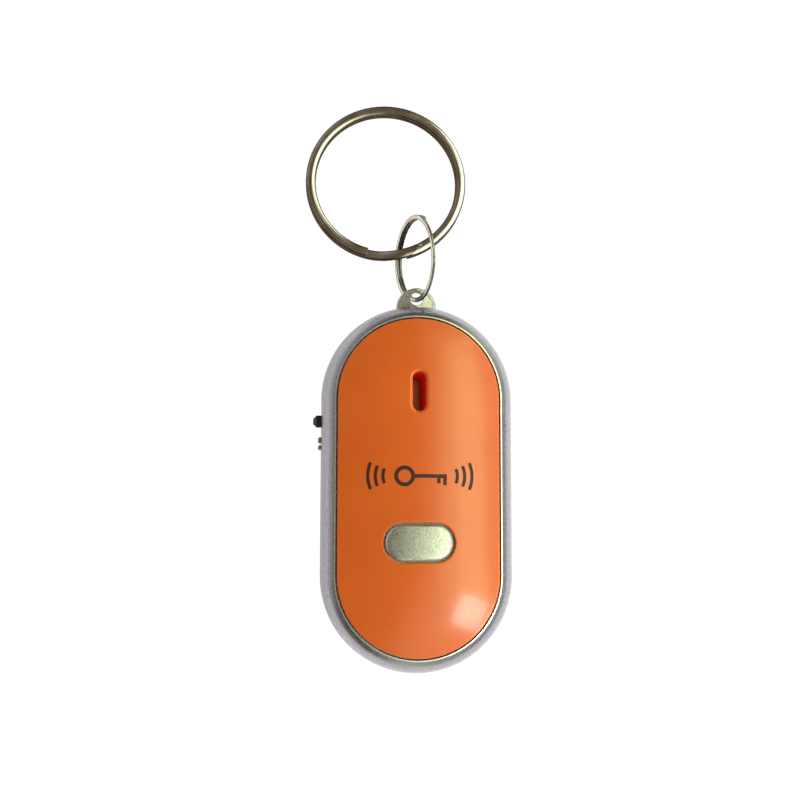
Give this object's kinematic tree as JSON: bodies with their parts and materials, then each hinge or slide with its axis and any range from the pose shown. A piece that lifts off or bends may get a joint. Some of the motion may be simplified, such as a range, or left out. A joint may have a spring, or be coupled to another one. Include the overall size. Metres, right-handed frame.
{
  "type": "electronic key finder",
  "caption": "Stadium-shaped electronic key finder with a domed front panel, sound slot, push button and side switch, on a small link ring and a flat split key ring.",
  "frame": {"origin": "centre of the case's flat rear face", "axes": "+Z out of the front panel, +Y along the case towards the key ring, +X to the right seen from the front"},
  "size_m": [0.0314, 0.0878, 0.0128],
  "materials": {
    "silver_paint": "satin metallic paint on plastic",
    "orange_gloss": "gloss",
    "button_silver": "satin metallic paint on plastic",
    "black_plastic": "matte",
    "ring_nickel": "polished",
    "steel": "plain",
    "contact_gold": "plated",
    "board_green": "solder mask",
    "felt_black": "felt",
    "lamp_red": "tinted clear",
    "ceramic_white": "fired ceramic",
    "wire_red": "insulation"
  },
  "bodies": {
    "case": {"rear_shell": "silver_paint", "front_frame": "silver_paint", "front_panel": "orange_gloss", "slide_switch_case": "steel", "tact_switch_body": "steel", "circuit_board": "board_green", "sound_chip": "black_plastic", "microphone": "steel", "microphone_felt": "felt_black", "signal_led": "lamp_red", "boost_coil": "black_plastic", "coin_cell": "steel", "positive_contact": "contact_gold", "negative_contact": "contact_gold", "sounder_disc": "contact_gold", "sounder_ceramic": "ceramic_white", "sounder_wire_red": "wire_red", "sounder_wire_black": "black_plastic", "case_screw_1": "steel", "case_screw_2": "steel", "case_screw_3": "steel"},
    "button": {"push_button": "button_silver"},
    "tact_plunger": {"tact_switch_plunger": "black_plastic"},
    "power_lever": {"power_switch_lever": "black_plastic"},
    "cell_door": {"battery_door": "silver_paint"},
    "link_ring": {"link_ring": "ring_nickel"},
    "key_ring": {"key_ring": "ring_nickel"}
  },
  "joints": [
    {"name": "button_press", "type": "slide", "parent": "case", "child": "button", "axis": [0, 0, -1], "range_m": [0, 0.0003], "stiffness_N_per_m": 400, "springref_m": -0.0002},
    {"name": "plunger_press", "type": "slide", "parent": "case", "child": "tact_plunger", "axis": [0, 0, -1], "range_m": [0, 0.0003]},
    {"name": "power_switch_slide", "type": "slide", "parent": "case", "child": "power_lever", "axis": [0, 1, 0], "range_m": [0, 0.002]},
    {"name": "battery_door_turn", "type": "hinge", "parent": "case", "child": "cell_door", "pos_m": [0, -0.0131, 0], "axis": [0, 0, -1], "range_deg": [0, 20]},
    {"name": "link_ring_swing", "type": "hinge", "parent": "case", "child": "link_ring", "pos_m": [0, 0.02875, 0.0054], "axis": [0, 0, 1], "range_deg": [-60, 45]},
    {"name": "key_ring_flip", "type": "hinge", "parent": "link_ring", "child": "key_ring", "pos_m": [-0.00096, 0.03662, 0.00241], "axis": [0.9537, 0.3007, 0], "range_deg": [-135, 100]}
  ],
  "couplings": [
    {"joint": "plunger_press", "follows": "button_press", "ratio": 1}
  ]
}
